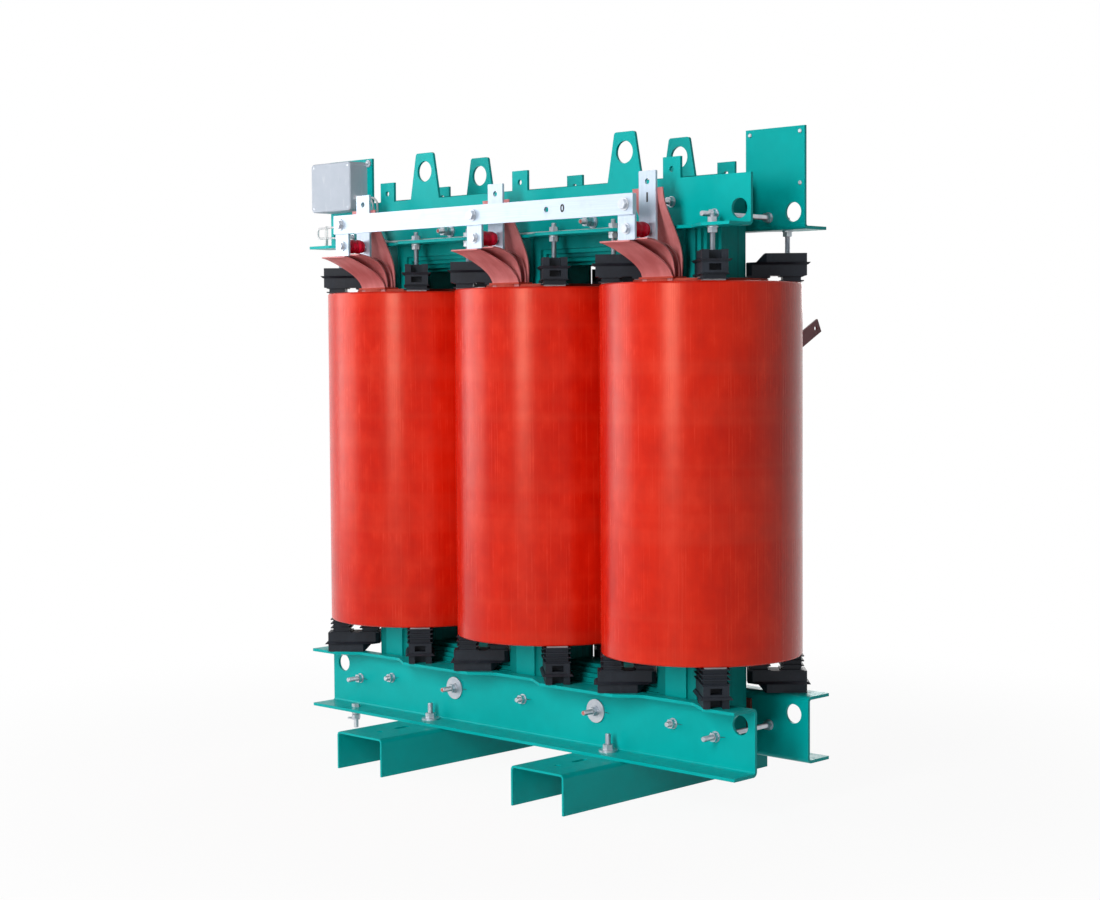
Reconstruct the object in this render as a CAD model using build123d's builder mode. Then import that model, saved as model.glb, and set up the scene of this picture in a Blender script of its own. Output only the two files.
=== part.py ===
"""Three-phase cast-resin dry type transformer, low-voltage side towards -Y. Millimetres, +Z up.

Origin: centre of the footprint, on the floor. X runs along the row of coils, Y from the low-voltage
side (front) to the high-voltage side (back). The row of coils is W (-X), V (middle) and U (+X).
"""
import os
from math import cos, pi, radians, sin, sqrt

from build123d import *

os.makedirs("parts", exist_ok=True)

# ---- Driving dimensions -------------------------------------------------------------------------
# Laminated core: packets of sheet steel stepped inside a circle
core_radius = 100.0
half_widths = (92.0, 84.0, 74.0, 65.0, 55.0)
tie_plate_width = 60.0
tie_plate_thick = 6.0

# Windings, from the leg outwards
lv_clearance = 12.0
lv_thick = 38.0
duct_gap = 30.0
hv_thick = 45.0
phase_gap = 17.0
hv_height = 823.0
coil_edge_radius = 5.0

# Resin panel and taps on the high-voltage side of each outer winding
panel_width = 190.0
panel_depth = 20.0
panel_margin = 12.0
boss_radius = 15.0
boss_height = 10.0
tap_pitch = 52.0
tap_gap = 70.0
tap_count = 4
link_thick = 4.0
link_width = 22.0

# Base channels
base_height = 90.0
base_width = 160.0
base_length = 710.0
base_wall = 5.0
base_bend = 10.0
base_centre = 296.0
base_hole_radius = 6.5
base_hole_y = 290.0
base_slot_length = 46.0
base_slot_y = 219.0

# Folded clamps
clamp_thick = 7.0
clamp_bend = 12.0
core_packing = 6.5
lower_clamp_height = 148.0
lower_clamp_length = 1390.0
lower_flange = 70.0
upper_clamp_height = 112.0
upper_clamp_length = 1372.0
upper_flange = 72.0
flange_waist = 32.0
waist_half = 62.0
waist_outer = 84.0
waist_slope = 58.0
tow_hole_radius = 21.5
tow_hole_x = 655.0
tow_hole_z = 38.0
lug_x = 329.0
lug_base = 102.0
lug_top = 60.0
lug_height = 112.0
lug_hole_radius = 25.0
lug_hole_drop = 45.0
lug_corner = 7.0
tab_width = 50.0
tab_height = 47.0
tab_hole_radius = 6.5
tab_hole_drop = 27.0
end_plate_height = 112.0
end_plate_inset = 12.0
rivet_radius = 3.0
rivet_head = 4.8

# Moulded coil supports, radial to each leg
support_angle = 42.5
support_stud_radius = 192.5
support_inner = 102.0
support_outer = 233.0
support_width = 56.0
support_height = 49.0
foot_height = 20.0
foot_inner = 141.0
foot_slope = 19.0
support_corner = 18.0
foot_corner = 22.0
wing_thick = 5.0
wing_reach = 8.0
pocket_width = 26.0
pocket_height = 14.0
pocket_depth = 26.0
lower_packing = 35.0
lower_ribs = 4
upper_packing = 13.0
upper_ribs = 2
rib_thick = 2.5
rib_reach = 6.0
coil_pad_thick = 3.0
pad_inset = 4.0
lv_rise = 8.0
stud_gap = 50.0

# Fasteners
m12_radius = 6.0
m12_nut = 19.0
m12_nut_height = 10.5
m12_washer_radius = 12.0
m10_nut = 16.0
bar_head = 8.0
thread_end = 3.0
washer_thick = 2.5
big_washer_radius = 27.0
core_washer_radius = 14.0
big_washer_thick = 4.0
lock_gap = 3.0
rod_stub = 44.0
rod_x = 588.0
rod_lower_drop = 18.0
core_bolt_x = 235.0
sleeve_wall = 2.0
plate_stud_drop = 4.0
plate_stud_rise = 33.0
plate_stud_stub = 24.0
tie_plate_end = 20.0
sheet_inset = 5.0
sheet_drop = 20.0
lower_sheet_short = 20.0
upper_sheet_short = 70.0
stud_stub = 22.0
low_head = 5.0
base_bolt_radius = 7.0
base_bolt_y = 124.0
base_bolt_stub = 40.0
earth_x = 568.0
earth_y = 132.0
earth_drop = 46.0
hole_clearance = 0.8
thread_clearance = 0.15
seat = 0.3

# Low-voltage bars and foils
bar_width = 48.0
bar_thick = 6.0
bar_washer_radius = 14.0
bar_washer_thick = 2.5
neutral_front = 252.0
neutral_length = 982.0
neutral_height = 45.0
neutral_axis_rise = 49.0
neutral_hole_x = 236.0
bar_hole_radius = 6.5
lead_bottom_drop = 27.0
phase_front = 178.0
phase_bottom_drop = 29.0
phase_height = 153.0
phase_hole_drop = 23.0
insulator_drop = 3.0
insulator_radius = 17.0
insulator_waist = 13.0
insulator_washer = 7.0
foil_width = 86.0
foil_thick = 3.0
foil_depths = (145.0, 137.0, 121.0, 113.0)
collar_height = 4.0
collar_slot = 8.0
slot_clearance = 0.6

# Terminal box and sensor leads
box_width = 152.0
box_height = 123.0
box_depth = 57.0
box_wall = 4.0
box_lid = 12.0
box_corner = 10.0
box_overhang = 9.0
box_drop = 8.0
box_hole_x = 35.0
box_hole_z = 30.0
ear_reach = 7.0
ear_radius = 9.0
gland_radius = 7.0
gland_length = 18.0
gland_pitch = 15.5
gland_thread = 4.5
screw_radius = 2.5
gland_rise = 32.0
lead_radius = 2.5
lead_pitch = 5.4
lead_track = 9.0
lead_drop_x = 56.0
lead_over_edge = 3.5
tie_width = 4.0
tie_wall = 1.2
tie_left = 158.0
tie_right = 106.0
loop_inset = 12.0
loop_rise = 20.0
loop_height = 26.0
loop_tie_x = 641.0
loop_straight = 16.0

# High-voltage terminals and delta links
terminal_width = 32.0
terminal_thick = 5.0
terminal_rise = 27.0
terminal_length = 84.0
terminal_x = 64.0
terminal_high = 693.0
terminal_low = 110.0
terminal_hole_radius = 5.5
link_rod_radius = 6.0
link_standoff = 21.0
link_bend = 14.0
link_drop = 28.0
yoke_bolt_rise = 28.0
tow_drop = 5.0
link_x = 44.0
tap_middle = 400.0
m10_radius = 5.0

# ---- Derived places ---------------------------------------------------------------------------
lv_inner = core_radius + lv_clearance
lv_outer = lv_inner + lv_thick
hv_inner = lv_outer + duct_gap
hv_outer = hv_inner + hv_thick
coil_pitch = 2 * hv_outer + phase_gap
coil_x = {"w": -coil_pitch, "v": 0.0, "u": coil_pitch}

half_depths = tuple(sqrt(core_radius**2 - half**2) for half in half_widths)
core_half = half_widths[0]
core_depth = half_depths[-1]
web_inner = core_depth + core_packing
web_outer = web_inner + clamp_thick
base_washer_radius = base_bolt_y - web_outer - (clamp_bend - clamp_thick) - seat

lower_z = base_height
lower_top = lower_z + lower_clamp_height
lower_yoke_z = base_height + seat + core_half
lower_block_top = lower_top + support_height
hv_bottom = lower_block_top + lower_packing + coil_pad_thick
coil_top = hv_bottom + hv_height
lv_top = coil_top + lv_rise
collar_top = lv_top + collar_height
upper_block_z = coil_top + coil_pad_thick + upper_packing
upper_block_top = upper_block_z + support_height
upper_z = upper_block_top + stud_gap
upper_top = upper_z + upper_clamp_height
upper_yoke_z = upper_z + yoke_bolt_rise
core_bolt_low = lower_yoke_z - plate_stud_drop
sleeve_radius = m12_radius + thread_clearance + sleeve_wall
stud_dx = support_stud_radius * cos(radians(support_angle))
stud_dy = support_stud_radius * sin(radians(support_angle))
plate_face = core_depth + tie_plate_thick
tap_mid_z = hv_bottom + tap_middle
terminal_high_z = hv_bottom + terminal_high
terminal_low_z = hv_bottom + terminal_low
panel_back = hv_outer + panel_depth
boss_face = panel_back + boss_height
tow_low = lower_z + lower_clamp_height / 2 + tow_hole_z - tow_drop
tow_high = upper_z + tow_hole_z
rod_low = lower_yoke_z - rod_lower_drop
rod_high = upper_yoke_z
plate_stud_high = upper_yoke_z + plate_stud_rise
tie_plate_low = core_bolt_low - tie_plate_end
tie_plate_high = plate_stud_high + tie_plate_end
plate_outer_x = upper_clamp_length / 2 - end_plate_inset
plate_inner_x = upper_clamp_length / 2 + box_overhang - box_width - ear_reach
end_plate_width = upper_clamp_length / 2 - plate_inner_x + end_plate_inset
end_plate_x = -(upper_clamp_length - end_plate_width) / 2
plate_hole_z = (upper_top + end_plate_height - end_plate_inset, upper_top - end_plate_inset)
plate_holes = [(-x, z) for x in (plate_outer_x, plate_inner_x) for z in plate_hole_z]
box_x = -upper_clamp_length / 2 + box_width / 2 - box_overhang
box_z = upper_top + end_plate_height - box_height / 2 - box_drop
ear_holes = [(-plate_inner_x, z) for z in plate_hole_z]
box_holes = [(box_x - box_hole_x, box_z - box_hole_z), (box_x - box_hole_x, box_z + box_hole_z)]
neutral_z = upper_z + neutral_axis_rise
lead_bottom = upper_z - lead_bottom_drop
phase_bottom = upper_z - phase_bottom_drop
insulator_z = upper_z - insulator_drop
neutral_back = neutral_front - bar_thick
lead_back = neutral_back - bar_thick
phase_back = phase_front - bar_thick

BOTTOM = (Align.CENTER, Align.CENTER, Align.MIN)
TO_FRONT = (90, 0, 0)
TO_BACK = (-90, 0, 0)
TURNED = (0, 0, 180)


def keep(builder, label):
    """Label a finished piece and write its file."""
    builder.part.label = label
    export_step(builder.part, f"parts/{label}.step")


def support_spots():
    """Places and headings of the four radial supports round each leg."""
    spots = []
    for x in coil_x.values():
        for heading in (support_angle, 180 - support_angle, 180 + support_angle, -support_angle):
            spots.append((x, heading))
    return spots


def stud_places(z, rotation=(0, 0, 0)):
    """Locations of the support studs at height z."""
    places = []
    for x, heading in support_spots():
        stud_x = x + support_stud_radius * cos(radians(heading))
        stud_y = support_stud_radius * sin(radians(heading))
        places.append(Location((stud_x, stud_y, z), rotation))
    return places


def block_places(z, rotation=0):
    """Locations that carry a support drawn along +X from the leg axis to its spot at height z."""
    return [Location((x, 0, z), (rotation, 0, heading)) for x, heading in support_spots()]


def repeat(piece, places):
    """Copies of one finished piece, as separate solids of one node."""
    with BuildPart() as group:
        with Locations(*places):
            add(piece.part)
    return group


# ---- Base channels: two folded inverted channels ------------------------------------------------
def make_base_channel(centre):
    half_width = base_width / 2 - base_wall
    with BuildPart() as channel:
        with BuildSketch(Plane.XZ):
            with BuildLine():
                FilletPolyline(
                    (centre - half_width, 0),
                    (centre - half_width, base_height - base_wall),
                    (centre + half_width, base_height - base_wall),
                    (centre + half_width, 0),
                    radius=base_bend - base_wall,
                )
                offset(amount=base_wall, side=Side.LEFT)
            make_face()
        extrude(amount=base_length / 2, both=True)
        with BuildSketch(Plane.XY.offset(base_height)):
            with Locations((centre, base_hole_y), (centre, -base_hole_y)):
                Circle(base_hole_radius)
            with Locations((centre, base_bolt_y), (centre, -base_bolt_y)):
                Circle(base_bolt_radius + hole_clearance)
            with Locations((centre, base_slot_y), (centre, -base_slot_y)):
                SlotOverall(base_slot_length, 2 * base_hole_radius, rotation=90)
        extrude(amount=-base_wall * 2, mode=Mode.SUBTRACT)
    return channel


keep(make_base_channel(-base_centre), "base_channel_left")
keep(make_base_channel(base_centre), "base_channel_right")


# ---- Clamps: folded plates either side of the yokes -----------------------------------------------
def cut_waists(top, flange):
    """Narrow a front flange before each coil, with a long slope at each end of the waist."""
    waist_y = -web_outer - flange_waist
    edge_y = -web_outer - flange - clamp_thick
    reach = waist_slope * (waist_y - edge_y) / (flange - flange_waist)
    with BuildSketch(Plane.XY.offset(top)) as waists:
        for x in coil_x.values():
            left = waist_outer if x < 0 else waist_half
            right = waist_outer if x > 0 else waist_half
            with BuildLine():
                Polyline(
                    (x - left, waist_y),
                    (x - left - reach, edge_y),
                    (x + right + reach, edge_y),
                    (x + right, waist_y),
                    close=True,
                )
            make_face()
        fillet(waists.vertices().group_by(Axis.Y)[-1], radius=waist_half / 2)
    extrude(waists.sketch, amount=-clamp_thick, mode=Mode.SUBTRACT)


def drill_web(spots, radius):
    """Holes through the front web at (x, z) spots."""
    with BuildSketch(Plane.XZ.offset(web_inner)) as holes:
        with Locations(*spots):
            Circle(radius)
    extrude(holes.sketch, amount=clamp_thick, mode=Mode.SUBTRACT)


def drill_stud_holes(top):
    """Clearance holes for the support studs in the front flange."""
    with BuildSketch(Plane.XY.offset(top)) as holes:
        for x in coil_x.values():
            with Locations((x - stud_dx, -stud_dy), (x + stud_dx, -stud_dy)):
                Circle(m12_radius + hole_clearance)
    extrude(holes.sketch, amount=-clamp_thick, mode=Mode.SUBTRACT)


def pairs(x, z):
    return [(-x, z), (x, z)]


coil_centres = list(coil_x.values())

with BuildPart() as lower_clamp_front:
    with BuildSketch(Plane.YZ):
        with BuildLine():
            FilletPolyline(
                (-web_outer - lower_flange, lower_z),
                (-web_inner, lower_z),
                (-web_inner, lower_top),
                (-web_outer - lower_flange, lower_top),
                radius=clamp_bend,
            )
            offset(amount=clamp_thick, side=Side.LEFT)
        make_face()
    extrude(amount=lower_clamp_length / 2, both=True)
    cut_waists(lower_top, lower_flange)
    drill_web(pairs(tow_hole_x, tow_low), tow_hole_radius)
    drill_web(pairs(rod_x, rod_low), m12_radius + hole_clearance)
    drill_web(pairs(core_bolt_x, core_bolt_low), sleeve_radius + hole_clearance)
    drill_web([(x, core_bolt_low) for x in coil_centres], m12_radius + hole_clearance)
    drill_stud_holes(lower_top)
    with BuildSketch(Plane.XY.offset(lower_z)):
        with Locations((-base_centre, -base_bolt_y), (base_centre, -base_bolt_y)):
            Circle(base_bolt_radius + hole_clearance)
        with Locations((-earth_x, -earth_y)):
            Circle(m12_radius + hole_clearance)
    extrude(amount=clamp_thick, mode=Mode.SUBTRACT)

with BuildPart() as lower_clamp_back:
    add(lower_clamp_front.part, rotation=TURNED)

keep(lower_clamp_front, "lower_clamp_front")
keep(lower_clamp_back, "lower_clamp_back")

# The upper clamp is an angle whose web carries the lifting lugs, cover tabs and one end plate
with BuildPart() as upper_clamp:
    with BuildSketch(Plane.YZ):
        with BuildLine():
            FilletPolyline(
                (-web_outer - upper_flange, upper_z),
                (-web_inner, upper_z),
                (-web_inner, upper_top),
                radius=clamp_bend,
            )
            offset(amount=clamp_thick, side=Side.LEFT)
        make_face()
    extrude(amount=upper_clamp_length / 2, both=True)
    with BuildSketch(Plane.XZ.offset(web_inner)) as ears:
        for x in (-lug_x, lug_x):
            with BuildLine():
                Polyline(
                    (x - lug_base / 2, upper_top),
                    (x - lug_top / 2, upper_top + lug_height),
                    (x + lug_top / 2, upper_top + lug_height),
                    (x + lug_base / 2, upper_top),
                    close=True,
                )
            make_face()
        fillet(ears.vertices().group_by(Axis.Y)[-1], radius=lug_corner)
        with Locations(*[(x, upper_top + tab_height / 2) for x in coil_centres]):
            Rectangle(tab_width, tab_height)
        with Locations((end_plate_x, upper_top + end_plate_height / 2)):
            Rectangle(end_plate_width, end_plate_height)
    extrude(amount=clamp_thick)
    cut_waists(upper_z + clamp_thick, upper_flange)
    drill_web(pairs(lug_x, upper_top + lug_height - lug_hole_drop), lug_hole_radius)
    drill_web([(x, upper_top + tab_height - tab_hole_drop) for x in coil_centres], tab_hole_radius)
    drill_web(plate_holes, rivet_radius + thread_clearance)
    drill_web(pairs(tow_hole_x, tow_high), tow_hole_radius)
    drill_web(pairs(rod_x, rod_high), m12_radius + hole_clearance)
    drill_web(pairs(core_bolt_x, upper_yoke_z), sleeve_radius + hole_clearance)
    drill_web([(x, plate_stud_high) for x in coil_centres], m12_radius + hole_clearance)
    drill_stud_holes(upper_z + clamp_thick)

with BuildPart() as upper_clamp_back:
    add(upper_clamp.part, rotation=TURNED)

# The terminal box takes two more holes, inside it
with BuildPart() as upper_clamp_front:
    add(upper_clamp.part)
    drill_web(box_holes, rivet_radius + thread_clearance)

keep(upper_clamp_front, "upper_clamp_front")
keep(upper_clamp_back, "upper_clamp_back")


# ---- Core: legs and yokes of stepped packets, mitred at the corners ------------------------------
def stack_packets(outline):
    """Extrude each packet's outline between its own depth and the next narrower one."""
    inner = 0.0
    for half, depth in zip(half_widths, half_depths):
        for side in (1, -1):
            with BuildSketch(Plane.XZ.offset(side * inner)) as packet:
                with BuildLine():
                    Polyline(*outline(half), close=True)
                make_face()
            extrude(packet.sketch, amount=side * (depth - inner))
        inner = depth


def outer_leg_outline(side):
    x = side * coil_pitch
    return lambda half: (
        (x + side * half, lower_yoke_z - half),
        (x - side * half, lower_yoke_z + half),
        (x - side * half, upper_yoke_z - half),
        (x + side * half, upper_yoke_z + half),
    )


def middle_leg_outline(half):
    return (
        (0, lower_yoke_z),
        (half, lower_yoke_z + half),
        (half, upper_yoke_z - half),
        (0, upper_yoke_z),
        (-half, upper_yoke_z - half),
        (-half, lower_yoke_z + half),
    )


def yoke_outline(axis_z, up):
    """A yoke about axis_z whose window side faces up (1) or down (-1)."""
    return lambda half: (
        (-coil_pitch - half, axis_z - up * half),
        (coil_pitch + half, axis_z - up * half),
        (coil_pitch - half, axis_z + up * half),
        (half, axis_z + up * half),
        (0, axis_z),
        (-half, axis_z + up * half),
        (-coil_pitch + half, axis_z + up * half),
    )


def make_core_piece(outline, bolt_z=None):
    with BuildPart() as piece:
        stack_packets(outline)
        if bolt_z is not None:
            with BuildSketch(Plane.XZ.offset(core_radius)):
                with Locations(*pairs(core_bolt_x, bolt_z)):
                    Circle(sleeve_radius + hole_clearance)
            extrude(amount=-2 * core_radius, mode=Mode.SUBTRACT)
    return piece


keep(make_core_piece(outer_leg_outline(-1)), "core_leg_w")
keep(make_core_piece(middle_leg_outline), "core_leg_v")
keep(make_core_piece(outer_leg_outline(1)), "core_leg_u")
keep(make_core_piece(yoke_outline(lower_yoke_z, 1), core_bolt_low), "core_yoke_bottom")
keep(make_core_piece(yoke_outline(upper_yoke_z, -1), upper_yoke_z), "core_yoke_top")

# Flat steel tie plates run up both faces of each leg, from clamp to clamp
with BuildPart() as leg_tie_plates:
    for side in (1, -1):
        with BuildSketch(Plane.XZ.offset(side * core_depth)):
            with Locations(*[(x, (tie_plate_low + tie_plate_high) / 2) for x in coil_centres]):
                Rectangle(tie_plate_width, tie_plate_high - tie_plate_low)
        extrude(amount=side * tie_plate_thick)
keep(leg_tie_plates, "leg_tie_plates")

# Pressed laminate sheets between the yokes and the clamps, slotted for the tie plates
with BuildPart() as yoke_insulation_sheets:
    for side in (1, -1):
        for bottom, top, slot_end, short in (
            (lower_z + sheet_inset, lower_top - sheet_drop, tie_plate_low - sheet_inset, lower_sheet_short),
            (upper_z + sheet_inset, upper_top - sheet_drop, tie_plate_high + sheet_inset, upper_sheet_short),
        ):
            open_end = top if slot_end < (bottom + top) / 2 else bottom
            with BuildSketch(Plane.XZ.offset(side * core_depth)):
                with Locations((0, (bottom + top) / 2)):
                    Rectangle(2 * (coil_pitch + core_half - short), top - bottom)
                with Locations(*[(x, (open_end + slot_end) / 2) for x in coil_centres]):
                    Rectangle(tie_plate_width + 2, abs(open_end - slot_end), mode=Mode.SUBTRACT)
                with Locations(*pairs(core_bolt_x, core_bolt_low), *pairs(core_bolt_x, upper_yoke_z)):
                    Circle(sleeve_radius + hole_clearance, mode=Mode.SUBTRACT)
            extrude(amount=side * core_packing)
keep(yoke_insulation_sheets, "yoke_insulation_sheets")


# ---- Windings -----------------------------------------------------------------------------------
def make_lv_coil(x):
    """Foil winding in resin, with a raised collar where the leads come out."""
    front, rear = foil_depths[0] + foil_thick * 2, foil_depths[-1] - foil_thick * 2
    with BuildPart() as coil:
        with BuildSketch(Plane.XY.offset(hv_bottom)):
            with Locations((x, 0)):
                Circle(lv_outer)
                Circle(lv_inner, mode=Mode.SUBTRACT)
        extrude(amount=lv_top - hv_bottom)
        with BuildSketch(Plane.XY.offset(lv_top)):
            with Locations((x, -(front + rear) / 2)):
                Rectangle(foil_width + 4 * foil_thick, front - rear)
        extrude(amount=collar_height)
        with BuildSketch(Plane.XY.offset(collar_top)):
            for depth in foil_depths:
                with Locations((x, -depth)):
                    Rectangle(foil_width + 6 * slot_clearance, foil_thick + 2 * slot_clearance)
        extrude(amount=-collar_height - collar_slot, mode=Mode.SUBTRACT)
    return coil


def make_hv_coil(x):
    """Cast winding: a plain ring with a flat terminal panel and bosses on the back."""
    panel_height = hv_height - 2 * panel_margin
    with BuildPart() as coil:
        with BuildSketch(Plane.XY.offset(hv_bottom)):
            with Locations((x, 0)):
                Circle(hv_outer)
        extrude(amount=hv_height)
        rims = coil.edges().filter_by(GeomType.CIRCLE)
        fillet(rims, radius=coil_edge_radius)
        with BuildSketch(Plane.XY.offset(hv_bottom + panel_margin)) as panel:
            with Locations((x, panel_back / 2)):
                Rectangle(panel_width, panel_back)
            fillet(panel.vertices().group_by(Axis.Y)[-1], radius=panel_depth / 2)
        extrude(amount=panel_height)
        with BuildSketch(Plane.XZ.offset(-panel_back)):
            with Locations((x, tap_mid_z)):
                with GridLocations(tap_gap, tap_pitch, 2, tap_count):
                    Circle(boss_radius)
            with Locations((x + terminal_x, terminal_high_z), (x + terminal_x, terminal_low_z)):
                Circle(boss_radius)
        extrude(amount=-boss_height)
        with BuildSketch(Plane.XY.offset(hv_bottom)):
            with Locations((x, 0)):
                Circle(hv_inner)
        extrude(amount=hv_height, mode=Mode.SUBTRACT)
    return coil


for phase, x in coil_x.items():
    keep(make_lv_coil(x), f"lv_coil_{phase}")
    keep(make_hv_coil(x), f"hv_coil_{phase}")

# ---- Coil supports: moulded blocks set radially under and over the windings ----------------------
with BuildPart() as block:
    with BuildSketch(Plane.XZ):
        with BuildLine():
            Polyline(
                (foot_inner, 0),
                (support_outer, 0),
                (support_outer, support_height),
                (support_inner, support_height),
                (support_inner, foot_height),
                (foot_inner - foot_slope, foot_height),
                close=True,
            )
        make_face()
    extrude(amount=support_width / 2, both=True)
    with BuildSketch(Plane.XY.offset(foot_height)):
        with Locations(((support_inner + support_outer + wing_reach) / 2, 0)):
            Rectangle(support_outer + wing_reach - support_inner, support_width + 2 * wing_reach)
    extrude(amount=wing_thick, taper=45)
    # The inner corners are cut away, and those of the foot more, to clear the yoke's steps
    for inner, half, corner, height in (
        (support_inner, support_width / 2 + wing_reach, support_corner, support_height),
        (foot_inner - foot_slope, support_width / 2, foot_corner, foot_height),
    ):
        with BuildSketch(Plane.XY):
            for side in (1, -1):
                with BuildLine():
                    Polyline(
                        (inner, side * (half - corner)),
                        (inner + corner, side * half),
                        (inner, side * half),
                        close=True,
                    )
                make_face()
        extrude(amount=height, mode=Mode.SUBTRACT)
    with BuildSketch(Plane.YZ.offset(support_outer)):
        with Locations((0, (foot_height + wing_thick + support_height) / 2)):
            Rectangle(pocket_width, pocket_height)
        with Locations((0, foot_height / 2)):
            Rectangle(pocket_width, foot_height)
    extrude(amount=-pocket_depth, mode=Mode.SUBTRACT)
    with BuildSketch(Plane.XY):
        with Locations((support_stud_radius, 0)):
            Circle(m12_radius + thread_clearance)
    extrude(amount=foot_height + wing_thick, mode=Mode.SUBTRACT)

keep(repeat(block, block_places(lower_top)), "lower_support_blocks")
keep(repeat(block, block_places(upper_block_top, 180)), "upper_support_blocks")


def make_packing(inner, outer, height, ribs):
    """Ribbed moulded piece that fills the height between a support and a winding."""
    length, middle = outer - inner, (inner + outer) / 2
    with BuildPart() as packing:
        with BuildSketch():
            with Locations((middle, 0)):
                Rectangle(length, support_width - rib_reach)
        extrude(amount=height)
        for index in range(ribs):
            with BuildSketch(Plane.XY.offset((height - rib_thick) * index / (ribs - 1))):
                with Locations((middle, 0)):
                    Rectangle(length + 2 * rib_reach, support_width + rib_reach)
            extrude(amount=rib_thick)
    return packing


hv_span = (hv_inner, hv_outer - wing_thick)
lv_span = (support_inner + rib_reach, lv_outer - pad_inset)
lower_places, upper_places = block_places(lower_block_top), block_places(upper_block_z, 180)
with BuildPart() as support_shims:
    with Locations(*lower_places):
        add(make_packing(*hv_span, lower_packing, lower_ribs).part)
        add(make_packing(*lv_span, lower_packing, lower_ribs).part)
    with Locations(*upper_places):
        add(make_packing(*hv_span, upper_packing, upper_ribs).part)
        add(make_packing(*lv_span, upper_packing - lv_rise, upper_ribs).part)
keep(support_shims, "support_shims")


def make_pad(inner, outer):
    with BuildPart() as pad:
        with BuildSketch():
            with Locations(((inner + outer) / 2, 0)):
                Rectangle(outer - inner, support_width - 2 * pad_inset)
        extrude(amount=coil_pad_thick)
    return pad


hv_pad = make_pad(hv_inner + pad_inset, hv_outer - coil_edge_radius)
lv_pad = make_pad(lv_inner + pad_inset, lv_outer - pad_inset)
pad_bottom = hv_bottom - coil_pad_thick
with BuildPart() as coil_pads:
    with Locations(*block_places(pad_bottom), *block_places(coil_top)):
        add(hv_pad.part)
    with Locations(*block_places(pad_bottom), *block_places(lv_top)):
        add(lv_pad.part)
keep(coil_pads, "coil_pads")


# ---- Fasteners ----------------------------------------------------------------------------------
def make_nut(radius, across_flats, height, washer_radius, washer=washer_thick):
    """Hexagon nut with its washer face down on z = 0."""
    with BuildPart() as nut:
        if washer_radius:
            Cylinder(washer_radius, washer, align=BOTTOM)
        with BuildSketch(Plane.XY.offset(washer if washer_radius else 0)):
            RegularPolygon(across_flats / 2, 6, major_radius=False)
        extrude(amount=height)
        Cylinder(radius + thread_clearance, 4 * height, mode=Mode.SUBTRACT)
    return nut


def make_bolt(radius, length, across_flats, head_height):
    """Bolt with its head below z = 0 and its shank up to z = length."""
    with BuildPart() as bolt:
        with BuildSketch():
            RegularPolygon(across_flats / 2, 6, major_radius=False)
        extrude(amount=-head_height)
        Cylinder(radius, length, align=BOTTOM)
        chamfer(bolt.faces().sort_by(Axis.Z)[-1].edges(), length=radius / 6)
    return bolt


def make_rod(radius, length):
    with BuildPart() as rod:
        Cylinder(radius, length, align=BOTTOM)
        chamfer(rod.edges().filter_by(GeomType.CIRCLE), length=radius / 6)
    return rod


def make_ring(outer, inner, height):
    with BuildPart() as ring:
        Cylinder(outer, height, align=BOTTOM)
        Cylinder(inner, height, align=BOTTOM, mode=Mode.SUBTRACT)
    return ring


def front_and_back(spots, reach):
    """Places at (x, z) spots on both webs, at a distance from the core's centre, facing outward."""
    places = []
    for x, z in spots:
        places.append(Location((x, -reach, z), TO_FRONT))
        places.append(Location((x, reach, z), TO_BACK))
    return places


nut = make_nut(m12_radius, m12_nut, m12_nut_height, m12_washer_radius)
plain_nut = make_nut(m12_radius, m12_nut, m12_nut_height, 0)

# Tie rods join the clamps beyond the outer legs, with nuts on both sides of each web
rod_spots = pairs(rod_x, rod_low) + pairs(rod_x, rod_high)
rod = make_rod(m12_radius, 2 * (web_outer + rod_stub))
rod_places = [Location((x, web_outer + rod_stub, z), TO_FRONT) for x, z in rod_spots]
keep(repeat(rod, rod_places), "tie_rods")
inward = [Location((x, -web_inner, z), TO_BACK) for x, z in rod_spots]
inward += [Location((x, web_inner, z), TO_FRONT) for x, z in rod_spots]
keep(repeat(nut, front_and_back(rod_spots, web_outer) + inward), "tie_rod_nuts")

# Core bolts pass through the yokes in insulating sleeves, with large washers on the webs
bolt_spots = pairs(core_bolt_x, core_bolt_low) + pairs(core_bolt_x, upper_yoke_z)
core_rod_places = [Location((x, web_outer + rod_stub, z), TO_FRONT) for x, z in bolt_spots]
keep(repeat(rod, core_rod_places), "core_bolts")
sleeve = make_ring(sleeve_radius, m12_radius + thread_clearance, 2 * web_outer)
sleeve_places = [Location((x, web_outer, z), TO_FRONT) for x, z in bolt_spots]
keep(repeat(sleeve, sleeve_places), "core_bolt_sleeves")
big_washer = make_ring(big_washer_radius, m12_radius + thread_clearance, big_washer_thick)
core_washer = make_ring(core_washer_radius, m12_radius + thread_clearance, big_washer_thick)
with BuildPart() as core_bolt_washers:
    with Locations(*front_and_back(bolt_spots[:2], web_outer)):
        add(big_washer.part)
    with Locations(*front_and_back(bolt_spots[2:], web_outer)):
        add(core_washer.part)
keep(core_bolt_washers, "core_bolt_washers")
lock_reach = web_outer + big_washer_thick + washer_thick + m12_nut_height + lock_gap
with BuildPart() as core_bolt_nuts:
    with Locations(*front_and_back(bolt_spots, web_outer + big_washer_thick)):
        add(nut.part)
    with Locations(*front_and_back(bolt_spots[2:], lock_reach)):
        add(plain_nut.part)
keep(core_bolt_nuts, "core_bolt_nuts")

# Short studs on the tie plates hold them to the clamps
stud_spots = [(x, z) for x in coil_centres for z in (core_bolt_low, plate_stud_high)]
plate_stud = make_rod(m12_radius, clamp_thick + web_inner - plate_face + plate_stud_stub)
keep(repeat(plate_stud, front_and_back(stud_spots, plate_face)), "tie_plate_studs")
keep(repeat(nut, front_and_back(stud_spots, web_outer)), "tie_plate_nuts")

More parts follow.
